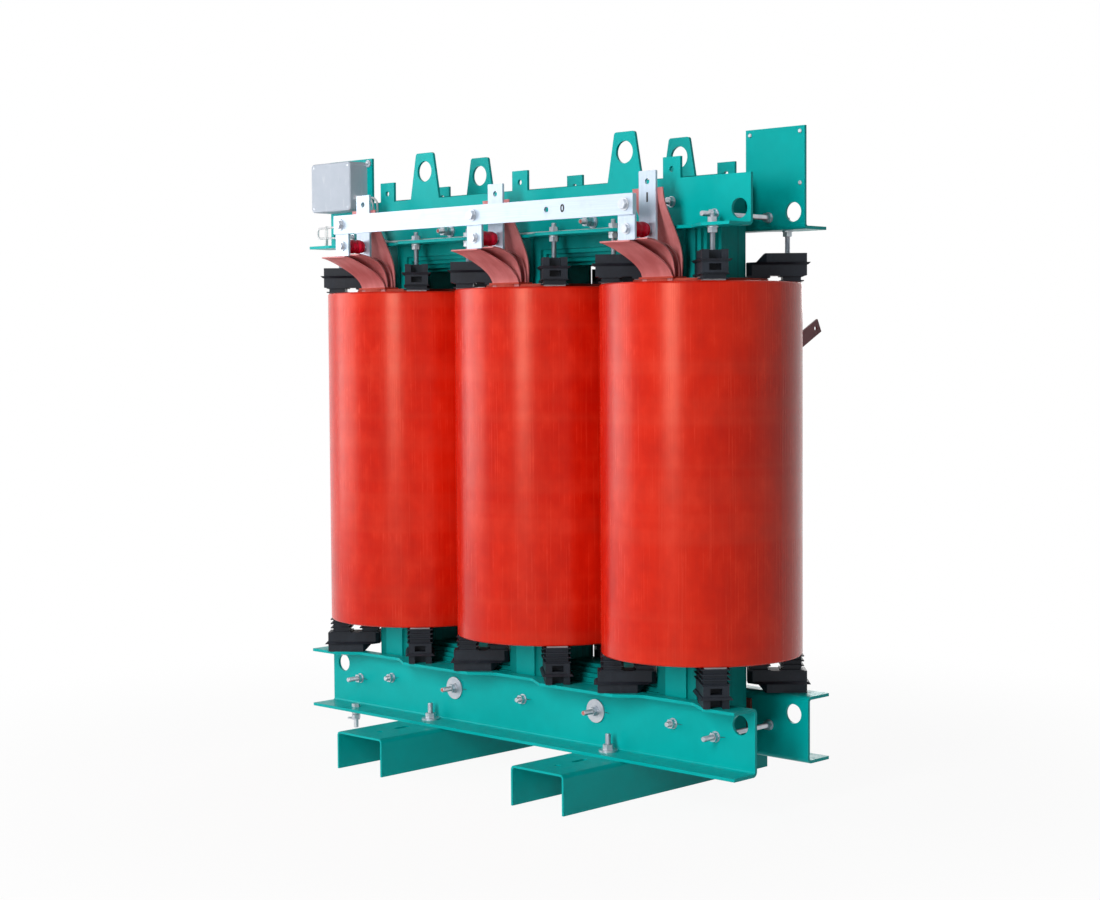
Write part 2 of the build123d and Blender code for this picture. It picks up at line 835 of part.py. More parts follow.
# Support fixings: bolts up through the lower flange, adjusting studs down from the upper one
stud_grip = foot_height + wing_thick - 2
support_bolt = make_bolt(m12_radius, clamp_thick + stud_grip, m12_nut, low_head)
keep(repeat(support_bolt, stud_places(lower_top - clamp_thick)), "support_bolts")
support_stud = make_rod(m12_radius, stud_grip + stud_gap + clamp_thick + stud_stub)
keep(repeat(support_stud, stud_places(upper_block_top - stud_grip)), "support_studs")
lock_nuts = stud_places(upper_z + clamp_thick) + stud_places(upper_z, (180, 0, 0))
keep(repeat(nut, lock_nuts), "support_nuts")

# Base bolts with broad washers hold the clamps down on the channels
base_spots = [(x, y) for x in (-base_centre, base_centre) for y in (-base_bolt_y, base_bolt_y)]
flange_face = lower_z + clamp_thick
base_bolt = make_bolt(base_bolt_radius, base_wall + clamp_thick + base_bolt_stub, 22, 9)
base_places = [Location((x, y, lower_z - base_wall)) for x, y in base_spots]
keep(repeat(base_bolt, base_places), "base_bolts")
base_washer = make_ring(base_washer_radius, base_bolt_radius + thread_clearance, big_washer_thick)
keep(repeat(base_washer, [Location((x, y, flange_face)) for x, y in base_spots]), "base_bolt_washers")
base_nut = make_nut(base_bolt_radius, 22, 12, 0)
base_nut_z = flange_face + big_washer_thick
keep(repeat(base_nut, [Location((x, y, base_nut_z)) for x, y in base_spots]), "base_bolt_nuts")

# Earthing bolt hanging from the end of the front clamp, with a lug between two nuts
with BuildPart() as earthing_bolt:
    with Locations(Location((-earth_x, -earth_y, flange_face), (180, 0, 0))):
        add(make_bolt(m12_radius, clamp_thick + earth_drop, m12_nut, 8).part)
    earth_nut_z = (lower_z - earth_drop / 2, lower_z - m12_nut_height)
    with Locations(*[(-earth_x, -earth_y, z) for z in earth_nut_z]):
        add(plain_nut.part)
    with BuildSketch(Plane.XY.offset(lower_z - earth_drop / 2)) as lug_outline:
        with Locations((-earth_x - m12_nut / 2, -earth_y)):
            SlotOverall(2 * m12_nut, m12_nut)
        with Locations((-earth_x, -earth_y)):
            Circle(m12_radius + thread_clearance, mode=Mode.SUBTRACT)
    extrude(amount=-washer_thick)
keep(earthing_bolt, "earthing_bolt")


# ---- Low-voltage bars ---------------------------------------------------------------------------
def make_bar(front, width, bottom, height, x, holes):
    """Flat upright bar with its front face at -Y front and holes at (x, z)."""
    with BuildPart() as bar:
        with BuildSketch(Plane.XZ.offset(front)):
            with Locations((x, bottom + height / 2)):
                Rectangle(width, height)
            with Locations(*holes):
                Circle(bar_hole_radius, mode=Mode.SUBTRACT)
        extrude(amount=-bar_thick)
        chamfer(bar.edges().filter_by(Axis.Y), length=bar_thick / 6)
    return bar


phase_hole_z = phase_bottom + phase_height - phase_hole_drop
for phase, x in coil_x.items():
    holes = [(x, phase_hole_z), (x, insulator_z)]
    bar = make_bar(phase_front, bar_width, phase_bottom, phase_height, x, holes)
    keep(bar, f"phase_bar_{phase}")

neutral_holes = [(x, neutral_z) for x in coil_centres + [neutral_hole_x]]
neutral_bottom = neutral_z - neutral_height / 2
neutral_bar = make_bar(neutral_front, neutral_length, neutral_bottom, neutral_height, 0, neutral_holes)
keep(neutral_bar, "neutral_bar")

lead_height = neutral_bottom + neutral_height - lead_bottom
with BuildPart() as neutral_lead_bars:
    for x in coil_centres:
        holes = [(x, neutral_z), (x, insulator_z)]
        add(make_bar(neutral_back, bar_width, lead_bottom, lead_height, x, holes).part)
keep(neutral_lead_bars, "neutral_lead_bars")

# Ribbed stand-off insulators space each phase bar from its neutral lead
insulator_length = lead_back - phase_front - insulator_washer
with BuildPart() as insulator:
    with BuildSketch(Plane.XZ) as profile:
        with BuildLine():
            ribs = [(0, 0), (insulator_radius - 2, 0)]
            for rib in range(3):
                start = insulator_length * rib / 3
                ribs.append((insulator_radius, start + insulator_length / 12))
                ribs.append((insulator_radius, start + insulator_length / 5))
                ribs.append((insulator_waist, start + insulator_length / 3.6))
            ribs += [(insulator_radius - 2, insulator_length), (0, insulator_length)]
            Polyline(*ribs, close=True)
        make_face()
    revolve(axis=Axis.Z)
    Cylinder(m10_radius + thread_clearance, insulator_length * 2, mode=Mode.SUBTRACT)
keep(
    repeat(insulator, [Location((x, -lead_back, insulator_z), TO_BACK) for x in coil_centres]),
    "standoff_insulators",
)

# Bolts of the neutral joints, and the stud through each insulator with its nuts
grip = bar_washer_thick + 2 * bar_thick + washer_thick + m12_nut_height
bar_bolt = make_bolt(m12_radius, grip + thread_end, m12_nut, bar_head)
bar_washer = make_ring(bar_washer_radius, m12_radius + thread_clearance, bar_washer_thick)
head_depth = neutral_front + bar_washer_thick
with BuildPart() as bar_bolts:
    with Locations(*[Location((x, -head_depth, neutral_z), TO_BACK) for x in coil_centres]):
        add(bar_bolt.part)
        add(bar_washer.part)
    with Locations(*[Location((x, -lead_back, neutral_z), TO_BACK) for x in coil_centres]):
        add(nut.part)
keep(bar_bolts, "bar_bolts")

head_depth = neutral_back + bar_washer_thick
stud_length = head_depth - phase_back + m12_nut_height
screw_washer = make_ring(m12_washer_radius, m10_radius + thread_clearance, bar_washer_thick)
with BuildPart() as insulator_screws:
    with Locations(*[Location((x, -head_depth, insulator_z), TO_BACK) for x in coil_centres]):
        add(make_bolt(m10_radius, stud_length, m10_nut, 6.5).part)
        add(screw_washer.part)
    with Locations(*[Location((x, -phase_back, insulator_z), TO_BACK) for x in coil_centres]):
        add(make_nut(m10_radius, m10_nut, 7, 0).part)
    with Locations(*[Location((x, -phase_front, insulator_z), TO_FRONT) for x in coil_centres]):
        add(make_ring(insulator_waist - 2, m10_radius + thread_clearance, insulator_washer).part)
keep(insulator_screws, "insulator_screws")


# ---- Foil leads: broad strips that rise from the winding and bend forward to the bars ------------
def make_foils(route):
    """Strip lofted along (x shift, depth, z, lean) stations, one for each coil."""
    with BuildPart() as foil:
        for shift, depth, z, lean in route:
            along = (0, -sin(radians(lean)), cos(radians(lean)))
            with BuildSketch(Plane((shift, -depth, z), (1, 0, 0), along)):
                Rectangle(foil_width, foil_thick)
        loft()
    return repeat(foil, [Location((x, 0, 0)) for x in coil_centres])


foil_start = lv_top - collar_slot
half_foil = foil_thick / 2
front_depth, rear_depth, inner_depth, back_depth = foil_depths
rise = lead_bottom - coil_top

keep(
    make_foils(
        (
            (0, front_depth, foil_start, 0),
            (0, front_depth, collar_top, 0),
            (-4, front_depth + 9, coil_top + 0.36 * rise, 36),
            (-16, front_depth + 47, coil_top + 0.7 * rise, 58),
            (-27, neutral_back - 22, lead_bottom - 9, 70),
            (-31, neutral_back + 3, lead_bottom - half_foil - seat, 88),
        )
    ),
    "neutral_foils_front",
)
keep(
    make_foils(
        (
            (0, rear_depth, foil_start, 0),
            (0, rear_depth, collar_top, 0),
            (1, rear_depth + 2, coil_top + 0.32 * rise, 12),
            (4, rear_depth + 14, coil_top + 0.62 * rise, 38),
            (8, rear_depth + 44, coil_top + 0.88 * rise, 62),
            (10, lead_back - 26, lead_bottom - 0.4, 82),
            (11, lead_back - seat, lead_bottom + half_foil + 0.5, 88),
        )
    ),
    "neutral_foils_rear",
)
keep(
    make_foils(
        (
            (0, inner_depth, foil_start, 0),
            (0, inner_depth, collar_top, 0),
            (0, inner_depth + 2, coil_top + 0.42 * rise, 12),
            (0, inner_depth + 14, coil_top + 0.7 * rise, 38),
            (-1, inner_depth + 36, phase_bottom - 8, 64),
            (-2, phase_front + 3, phase_bottom - half_foil - seat, 90),
        )
    ),
    "phase_foils_front",
)
keep(
    make_foils(
        (
            (0, back_depth, foil_start, 0),
            (0, back_depth, collar_top, 0),
            (4, back_depth + 3, coil_top + 0.45 * rise, 10),
            (5, back_depth + 13, phase_bottom - 4, 18),
            (1, phase_back - 30, upper_z + 5, 26),
            (-1, phase_back - 13, upper_z + 0.34 * upper_clamp_height, 23),
            (-3, phase_back - 4.4, upper_z + 0.55 * upper_clamp_height, 10),
            (-4, phase_back - half_foil - 2 * seat, phase_bottom + 0.68 * phase_height, 0),
            (-5, phase_back - half_foil - 2 * seat, phase_bottom + 0.76 * phase_height, 0),
        )
    ),
    "phase_foils_rear",
)

# ---- Terminal box on the end plate ----------------------------------------------------------------
box_side = box_x + box_width / 2
body_depth = box_depth - box_lid
gland_z = box_z - box_height / 2 + gland_rise
gland_depths = [web_outer + body_depth / 2 + step * gland_pitch for step in (-1, 0, 1)]
gland_spots = [(-depth, gland_z) for depth in gland_depths]
post_radius = box_corner - box_wall + 1

with BuildPart() as terminal_box:
    with BuildSketch(Plane.XZ.offset(web_outer)) as box_outline:
        with Locations((box_x, box_z)):
            RectangleRounded(box_width, box_height, box_corner)
    extrude(amount=body_depth)
    with BuildSketch(Plane.XZ.offset(web_outer + box_wall)):
        with Locations((box_x, box_z)):
            RectangleRounded(box_width - 2 * box_wall, box_height - 2 * box_wall, box_corner - box_wall)
    extrude(amount=body_depth, mode=Mode.SUBTRACT)
    with BuildSketch(Plane.XZ.offset(web_outer)):
        with Locations(*ear_holes):
            Circle(ear_radius)
    extrude(amount=box_wall)
    with BuildSketch(Plane.XZ.offset(web_outer)):
        with Locations(*ear_holes, *box_holes):
            Circle(rivet_radius + thread_clearance)
    extrude(amount=box_wall, mode=Mode.SUBTRACT)
    with BuildSketch(Plane.XZ.offset(web_outer + box_wall)):
        with Locations((box_x, box_z)):
            with GridLocations(box_width - 2 * box_corner, box_height - 2 * box_corner, 2, 2):
                Circle(post_radius)
    extrude(amount=body_depth - box_wall)
    with BuildSketch(Plane.YZ.offset(box_side)):
        with Locations(*gland_spots):
            Circle(gland_thread + thread_clearance)
    extrude(amount=-2 * box_wall, mode=Mode.SUBTRACT)
keep(terminal_box, "terminal_box")

with BuildPart() as terminal_box_lid:
    with BuildSketch(Plane.XZ.offset(web_outer + body_depth)):
        with Locations((box_x, box_z)):
            RectangleRounded(box_width, box_height, box_corner)
    extrude(amount=box_lid)
    fillet(terminal_box_lid.faces().sort_by(Axis.Y)[0].edges(), radius=box_wall)
    with BuildSketch(Plane.XZ.offset(web_outer + body_depth)):
        with Locations((box_x, box_z)):
            RectangleRounded(box_width - 2 * box_wall, box_height - 2 * box_wall, box_corner - box_wall)
    extrude(amount=box_lid - 1.5 * box_wall, mode=Mode.SUBTRACT)
    with BuildSketch(Plane.XZ.offset(web_outer + box_depth)):
        with Locations((box_x, box_z)):
            with GridLocations(box_width - 2 * box_corner, box_height - 2 * box_corner, 2, 2):
                Circle(screw_radius + thread_clearance)
    extrude(amount=-box_lid, mode=Mode.SUBTRACT)
keep(terminal_box_lid, "terminal_box_lid")

with BuildPart() as lid_screw:
    Cylinder(screw_radius, 1.5 * box_wall, align=BOTTOM)
    with BuildSketch(Plane.XY.offset(1.5 * box_wall)):
        Rectangle(2 * screw_radius, screw_radius / 3)
    extrude(amount=-screw_radius / 2, mode=Mode.SUBTRACT)
with BuildPart() as ear_screw:
    Cylinder(rivet_radius, clamp_thick + box_wall, align=BOTTOM)
    with Locations((0, 0, clamp_thick + box_wall)):
        Cylinder(rivet_head, rivet_radius, align=BOTTOM)
lid_floor = web_outer + box_depth - 1.5 * box_wall
lid_corners = [
    (box_x + side * (box_width / 2 - box_corner), box_z + up * (box_height / 2 - box_corner))
    for side in (-1, 1)
    for up in (-1, 1)
]
with BuildPart() as terminal_box_screws:
    with Locations(*[Location((x, -lid_floor, z), TO_FRONT) for x, z in lid_corners]):
        add(lid_screw.part)
    with Locations(*[Location((x, -web_inner, z), TO_FRONT) for x, z in ear_holes + box_holes]):
        add(ear_screw.part)
keep(terminal_box_screws, "terminal_box_screws")

# The same four holes of the back clamp's bare end plate are filled by rivets
with BuildPart() as rivet:
    Cylinder(rivet_radius, clamp_thick, align=BOTTOM)
    with Locations((0, 0, -rivet_radius)):
        Cylinder(rivet_head, rivet_radius, align=BOTTOM)
    chamfer(rivet.faces().sort_by(Axis.Z)[0].edges(), length=rivet_radius / 2)
keep(repeat(rivet, [Location((-x, web_inner, z), TO_BACK) for x, z in plate_holes]), "plate_rivets")

with BuildPart() as gland:
    Cylinder(gland_thread, box_wall, align=BOTTOM)
    with BuildSketch(Plane.XY.offset(box_wall)):
        RegularPolygon(gland_radius - 0.5, 6, major_radius=False)
    extrude(amount=gland_length / 3)
    with BuildSketch(Plane.XY.offset(box_wall + gland_length / 3)):
        Circle(gland_radius - 1)
    extrude(amount=gland_length * 2 / 3, taper=8)
    Cylinder(lead_radius, 3 * gland_length, mode=Mode.SUBTRACT)
gland_places = [Location((box_side - box_wall, y, z), (0, 90, 0)) for y, z in gland_spots]
keep(repeat(gland, gland_places), "cable_glands")


# ---- Sensor leads: from the glands down to the clamp flange, along it and over to each winding ---
def bend_radii(points):
    """The largest radius for each corner that its two runs allow."""
    radii = []
    for before, corner, after in zip(points, points[1:], points[2:]):
        run_in, run_out = Vector(*corner) - Vector(*before), Vector(*after) - Vector(*corner)
        half_turn = radians(run_in.get_angle(run_out)) / 2
        radii.append(0.45 * min(run_in.length, run_out.length) * cos(half_turn) / sin(half_turn))
    return radii


def make_lead(points):
    radii = bend_radii(points)
    with BuildPart() as lead:
        with BuildLine() as route:
            FilletPolyline(*points, radius=radii)
        with BuildSketch(Plane(origin=route.line @ 0, z_dir=route.line % 0)):
            Circle(lead_radius)
        sweep()
    length = route.wires()[0].length
    print("lead length", round(length), "bend radii", [round(bend) for bend in radii])
    print("volume / (area x length)", round(lead.part.volume / (pi * lead_radius**2 * length), 4))
    return lead


tie_radius = lead_radius + tie_wall
flange_top = upper_z + clamp_thick
flange_z = flange_top + tie_radius + seat
gland_end = box_side + gland_length
edge = web_outer + flange_waist + lead_radius + lead_over_edge


def lead_route(step, drop_x):
    """One lead: out of its gland, down to the flange, along it, over its edge and into a winding."""
    track = web_outer + lead_track + step * lead_pitch
    depth = gland_depths[step]
    return [
        (gland_end, -depth, gland_z),
        (gland_end + 14, -depth, gland_z),
        (gland_end + 27, -depth + 1, gland_z - 12),
        (gland_end + 30, (-depth - track) / 2, gland_z - 48),
        (gland_end + 34, -track - 1, flange_z + 37),
        (gland_end + 48, -track, flange_z + 8),
        (gland_end + 72, -track, flange_z),
        (drop_x - 24, -track, flange_z),
        (drop_x - 10, -track - 6, flange_z + 4),
        (drop_x - 2, -edge + 4, flange_z + 2),
        (drop_x, -edge - 2, flange_z - 24),
        (drop_x + 1, -edge + 3, flange_z - 64),
        (drop_x, -lead_seat, coil_top + 34),
        (drop_x, -lead_seat, lv_top + seat),
    ]


def looped_route(drop_x):
    """The near lead: out of its gland, round a long loop held over the flange's end, then down."""
    depth = gland_depths[-1]
    tip = -upper_clamp_length / 2 + loop_inset
    low, high = flange_top + loop_rise, flange_top + loop_rise + loop_height
    return [
        (gland_end, -depth, gland_z),
        (gland_end + 14, -depth, gland_z),
        (gland_end + 27, -depth, gland_z - 12),
        (gland_end + 27, -depth - 1, gland_z - 44),
        (gland_end + 13, -depth - 4, high + 12),
        (gland_end - 30, -loop_depth, high + 2),
        (-loop_tie_x + loop_straight, -loop_depth, high),
        (-loop_tie_x - loop_straight, -loop_depth, high),
        (tip, -loop_depth, high - 1),
        (tip, -loop_depth, low + 1),
        (-loop_tie_x - loop_straight, -loop_depth, low),
        (-loop_tie_x + loop_straight, -loop_depth, low),
        (drop_x - 26, -loop_depth, low - 4),
        (drop_x - 4, -loop_depth + 4, low - 16),
        (drop_x, -edge - 4, flange_top - 24),
        (drop_x, -edge + 3, flange_top - 64),
        (drop_x, -lead_seat, coil_top + 34),
        (drop_x, -lead_seat, lv_top + seat),
    ]


lead_seat = (lv_inner + lv_outer) / 2 - lead_pitch * 2
loop_depth = web_outer + rod_stub + lead_radius + 2 * lead_over_edge
leads = [make_lead(looped_route(coil_x["w"] - lead_drop_x))]
leads.append(make_lead(lead_route(1, coil_x["v"] - lead_drop_x)))
leads.append(make_lead(lead_route(0, coil_x["u"] - lead_drop_x)))
with BuildPart() as sensor_leads:
    for lead in leads:
        add(lead.part)
keep(sensor_leads, "sensor_leads")


def make_tie(count):
    """Nylon band round the innermost leads where they lie side by side on the flange."""
    spread = (count - 1) * lead_pitch
    inner = lead_radius + thread_clearance
    with BuildPart() as tie:
        with BuildSketch(Plane.YZ):
            with Locations((-spread / 2, 0)):
                RectangleRounded(spread + 2 * tie_radius, 2 * tie_radius, tie_radius - thread_clearance)
                bore = spread + 2 * inner
                RectangleRounded(bore, 2 * inner, inner - thread_clearance, mode=Mode.SUBTRACT)
        extrude(amount=tie_width)
    return tie


# The loop's two runs go through the head of a tie post that stands on the flange
with BuildPart() as loop_tie:
    inner = lead_radius + thread_clearance
    post_height = loop_rise + loop_height + tie_radius - seat
    with BuildSketch(Plane.YZ):
        with Locations((0, seat + post_height / 2)):
            Rectangle(2 * tie_radius, post_height)
        with Locations((0, loop_rise + loop_height / 2)):
            Rectangle(2 * inner, loop_height + 2 * inner, mode=Mode.SUBTRACT)
    extrude(amount=tie_width / 2, both=True)

tie_spots = (
    (2, coil_x["w"] + tie_right),
    (2, coil_x["v"] - tie_left),
    (1, coil_x["v"] + tie_right),
    (1, coil_x["u"] - tie_left),
)
with BuildPart() as lead_ties:
    for count, tie_x in tie_spots:
        with Locations((tie_x, -web_outer - lead_track, flange_z)):
            add(make_tie(count).part)
    with Locations((-loop_tie_x, -loop_depth, flange_top)):
        add(loop_tie.part)
keep(lead_ties, "lead_ties")

# ---- High-voltage side --------------------------------------------------------------------------
# Terminal: a flat foot on the upper boss and a strip that rises to the back with a hole in its end
strip_x = terminal_x + terminal_width / 2 - terminal_thick / 2
strip_start = boss_face + terminal_thick / 2
foot_left = link_x - link_rod_radius - terminal_thick
foot_right = terminal_x + terminal_width / 2
with BuildPart() as terminal:
    with BuildSketch(Plane.XZ.offset(-boss_face)):
        foot_z = terminal_high_z - link_drop + terminal_width / 2
        with Locations(((foot_left + foot_right) / 2, foot_z)):
            Rectangle(foot_right - foot_left, 2 * link_drop)
        with Locations((terminal_x, terminal_high_z)):
            Circle(m10_radius + thread_clearance, mode=Mode.SUBTRACT)
    extrude(amount=-terminal_thick)
    with BuildSketch(Plane.YZ.offset(strip_x - terminal_thick / 2)):
        with Locations(Location((strip_start, terminal_high_z, 0), (0, 0, terminal_rise))):
            with Locations((terminal_length / 2, 0)):
                Rectangle(terminal_length, terminal_width)
            with Locations((terminal_length - terminal_width / 2, 0)):
                Circle(terminal_hole_radius, mode=Mode.SUBTRACT)
    extrude(amount=terminal_thick)
    with BuildSketch(Plane.XZ.offset(-boss_face)):
        with Locations((terminal_x, terminal_high_z)):
            Rectangle(2 * terminal_width, 4 * terminal_width)
    extrude(amount=terminal_width, mode=Mode.SUBTRACT)
keep(repeat(terminal, [Location((x, 0, 0)) for x in coil_centres]), "hv_terminals")

# Delta links: rods from each lower boss to the next winding's upper terminal
foot_face = boss_face + terminal_thick + seat


def link_route(start, end, y):
    start_x, end_x = coil_x[start] + terminal_x, coil_x[end] + link_x
    return [
        (start_x, boss_face + seat, terminal_low_z),
        (start_x, y, terminal_low_z),
        (end_x, y, terminal_high_z - link_drop),
        (end_x, foot_face, terminal_high_z - link_drop),
    ]


def make_link(route):
    with BuildPart() as link:
        with BuildLine():
            FilletPolyline(*route, radius=link_bend)
        with BuildSketch(Plane.XZ.offset(-boss_face - seat)):
            with Locations(route[0][::2]):
                Circle(link_rod_radius)
        sweep()
    return link


links = [make_link(link_route("u", "v", boss_face + link_standoff))]
links.append(make_link(link_route("v", "w", boss_face + link_standoff)))
links.append(make_link(link_route("w", "u", boss_face + 2 * link_standoff)))
with BuildPart() as delta_links:
    for link in links:
        add(link.part)
keep(delta_links, "delta_links")

# Tap studs with nuts, a link plate across one pair on each panel and washers under the others
with BuildPart() as stud_nut:
    Cylinder(m10_radius, link_thick + 3 * m10_radius, align=BOTTOM)
    with BuildSketch(Plane.XY.offset(link_thick)):
        RegularPolygon(8, 6, major_radius=False)
    extrude(amount=8)
with BuildPart() as link_plate:
    with BuildSketch():
        SlotCenterToCenter(tap_gap, link_width)
        with GridLocations(tap_gap, tap_pitch, 2, 1):
            Circle(m10_radius + thread_clearance, mode=Mode.SUBTRACT)
    extrude(amount=link_thick)
tap_washer = make_ring(link_width / 2, m10_radius + thread_clearance, link_thick)
link_row = tap_pitch / 2
with BuildPart() as tap_hardware:
    for x in coil_centres:
        for column in (-tap_gap / 2, tap_gap / 2):
            for row in range(tap_count):
                z = tap_mid_z + (row - (tap_count - 1) / 2) * tap_pitch
                with Locations(Location((x + column, boss_face, z), TO_BACK)):
                    add(stud_nut.part)
                    if z != tap_mid_z + link_row:
                        add(tap_washer.part)
        with Locations(Location((x, boss_face, tap_mid_z + link_row), TO_BACK)):
            add(link_plate.part)
        foot_y = boss_face + terminal_thick - link_thick
        with Locations(Location((x + terminal_x, foot_y, terminal_high_z), TO_BACK)):
            add(stud_nut.part)
keep(tap_hardware, "tap_hardware")
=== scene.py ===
import math

import bpy
import bmesh
from mathutils import Matrix, Vector


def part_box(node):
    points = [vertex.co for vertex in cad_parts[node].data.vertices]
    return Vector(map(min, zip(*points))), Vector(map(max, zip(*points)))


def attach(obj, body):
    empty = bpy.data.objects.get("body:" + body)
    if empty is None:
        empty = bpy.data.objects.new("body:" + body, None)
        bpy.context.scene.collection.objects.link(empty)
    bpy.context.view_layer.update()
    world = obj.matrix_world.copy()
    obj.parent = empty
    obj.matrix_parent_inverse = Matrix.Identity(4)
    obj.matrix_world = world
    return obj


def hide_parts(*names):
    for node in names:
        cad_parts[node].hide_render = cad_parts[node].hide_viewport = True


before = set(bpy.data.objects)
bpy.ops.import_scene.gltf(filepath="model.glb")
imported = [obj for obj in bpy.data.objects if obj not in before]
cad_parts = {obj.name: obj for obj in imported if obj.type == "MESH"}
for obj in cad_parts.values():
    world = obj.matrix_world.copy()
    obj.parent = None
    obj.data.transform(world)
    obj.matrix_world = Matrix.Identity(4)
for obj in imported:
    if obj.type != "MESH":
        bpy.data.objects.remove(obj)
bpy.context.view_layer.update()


# ---- Camera ----------------------------------------------------------------------------------------
# A long lens at about chest height, turned to the low-voltage side and the right-hand end.
# Its place and angles are those of a plain product view, with a slight tilt of the horizon.
camera_place = Vector((3.3512, -3.4645, 1.0044))
turn, dip, tilt = math.radians(44.055), math.radians(2.85), math.radians(0.372)
ahead = Vector((-math.sin(turn) * math.cos(dip), math.cos(turn) * math.cos(dip), -math.sin(dip)))
level_right = Vector((math.cos(turn), math.sin(turn), 0))
level_up = level_right.cross(ahead)
right = level_right * math.cos(tilt) - level_up * math.sin(tilt)
up = level_right * math.sin(tilt) + level_up * math.cos(tilt)
camera = bpy.data.objects.new("camera", bpy.data.cameras.new("camera"))
camera.data.sensor_width = 36
camera.data.lens = 66.13
camera.matrix_world = Matrix.Translation(camera_place) @ Matrix((right, up, -ahead)).transposed().to_4x4()
bpy.context.scene.collection.objects.link(camera)
bpy.context.scene.camera = camera
bpy.context.scene.view_settings.view_transform = "Standard"


# ---- Studio ----------------------------------------------------------------------------------------
# A white floor that keeps a faint shadow, and an even surround that the eye and the polished metal see
# as white. An upright soft lamp stands before the low-voltage side and draws the bright line down each
# winding. A broad one fills from the left, and two more touch the right-hand end and the back.
class Wire:
    """A shader socket: sums and products of wires add Math nodes, node() adds any other node."""

    def __init__(self, tree, socket=None):
        self.tree, self.socket = tree, socket

    def node(self, kind, settings=None, inputs=None, output=0):
        made = self.tree.nodes.new("ShaderNode" + kind)
        for name, value in (settings or {}).items():
            if name == "stops":
                elements = made.color_ramp.elements
                elements[0].position, elements[0].color = value[0]
                elements[1].position, elements[1].color = value[-1]
                for place, colour in value[1:-1]:
                    elements.new(place).color = colour
            else:
                setattr(made, name, value)
        for name, value in (inputs or {}).items():
            if isinstance(value, Wire):
                self.tree.links.new(value.socket, made.inputs[name])
            else:
                made.inputs[name].default_value = value
        return Wire(self.tree, made.outputs[output])

    def math(self, operation, first, second):
        return self.node("Math", {"operation": operation}, {0: first, 1: second})

    def __add__(self, other):
        return self.math("ADD", self, other)

    __radd__ = __add__

    def __mul__(self, other):
        return self.math("MULTIPLY", self, other)

    __rmul__ = __mul__

    def __sub__(self, other):
        return self.math("SUBTRACT", self, other)

    def __rsub__(self, other):
        return self.math("SUBTRACT", other, self)

    def between(self, low, high):
        """0 below low, 1 above high, smooth between."""
        settings = {"interpolation_type": "SMOOTHSTEP"}
        return self.node("MapRange", settings, {"Value": self, "From Min": low, "From Max": high})

    def tint(self, low, high):
        """The colour low where this wire is 0 and high where it is 1."""
        return self.node("Mix", {"data_type": "RGBA"}, {0: self, 6: low, 7: high}, output=2)


world = bpy.data.worlds.new("studio")
world.use_nodes = True
bpy.context.scene.world = world
sky = Wire(world.node_tree)


def in_view(wire):
    """1 for rays that show the surround: to the eye, in a reflection or through something clear."""
    camera_ray, glossy_ray, clear_ray = (
        wire.node("LightPath", output=kind)
        for kind in ("Is Camera Ray", "Is Glossy Ray", "Is Transmission Ray")
    )
    return wire.math("MAXIMUM", wire.math("MAXIMUM", camera_ray, glossy_ray), clear_ray)


surround = world.node_tree.nodes["Background"]
surround.inputs["Color"].default_value = (1, 1, 1, 1)
even_light = 0.08
strength = in_view(sky) * (1 - even_light) + even_light
world.node_tree.links.new(strength.socket, surround.inputs["Strength"])

floor_mesh = bpy.data.meshes.new("floor")
floor_reach, floor_level, floor_white = 14, -0.0005, 0.93
corners = [(-1, -1), (1, -1), (1, 1), (-1, 1)]
corners = [(x * floor_reach, y * floor_reach, floor_level) for x, y in corners]
floor_mesh.from_pydata(corners, [], [(0, 1, 2, 3)])
floor = bpy.data.objects.new("floor", floor_mesh)
bpy.context.scene.collection.objects.link(floor)
floor_paint = bpy.data.materials.new("floor_paint")
floor_paint.use_nodes = True
base = floor_paint.node_tree.nodes["Principled BSDF"]
base.inputs["Base Color"].default_value = (0.9, 0.9, 0.9, 1)
base.inputs["Roughness"].default_value = 0.9
glow = Wire(floor_paint.node_tree)
spot = glow.node("TexCoord", output="Object")
away = glow.node("VectorMath", {"operation": "LENGTH"}, {0: spot}, output=1)
whiteness = in_view(glow) * (floor_white + away.between(0.9, 2.2) * (1 - floor_white))
white = glow.node("Emission", inputs={"Color": (1, 1, 1, 1), "Strength": 1.0})
painted = Wire(glow.tree, base.outputs[0])
lit = glow.node("MixShader", inputs={0: whiteness, 1: painted, 2: white})
glow.tree.links.new(lit.socket, glow.tree.nodes["Material Output"].inputs["Surface"])
floor_mesh.materials.append(floor_paint)

lamp_distance, lamp_target = 5.0, Vector((0, 0, 0.8))
for name, azimuth, height, width, tall, power in (
    ("key", 12.5, 2.3, 1.4, 3.4, 170),
    ("left", -58, 1.8, 3.2, 3.2, 92),
    ("side", 112, 1.6, 1.4, 2.6, 3),
    ("back", 205, 2.6, 1.8, 3.0, 70),
):
    angle = math.radians(azimuth)
    lamp = bpy.data.objects.new(name, bpy.data.lights.new(name, "AREA"))
    lamp.data.shape, lamp.data.energy = "RECTANGLE", power
    lamp.data.size, lamp.data.size_y = width, tall
    lamp.location = (lamp_distance * math.sin(angle), -lamp_distance * math.cos(angle), height)
    lamp.rotation_euler = (lamp_target - lamp.location).to_track_quat("-Z", "Y").to_euler()
    bpy.context.scene.collection.objects.link(lamp)


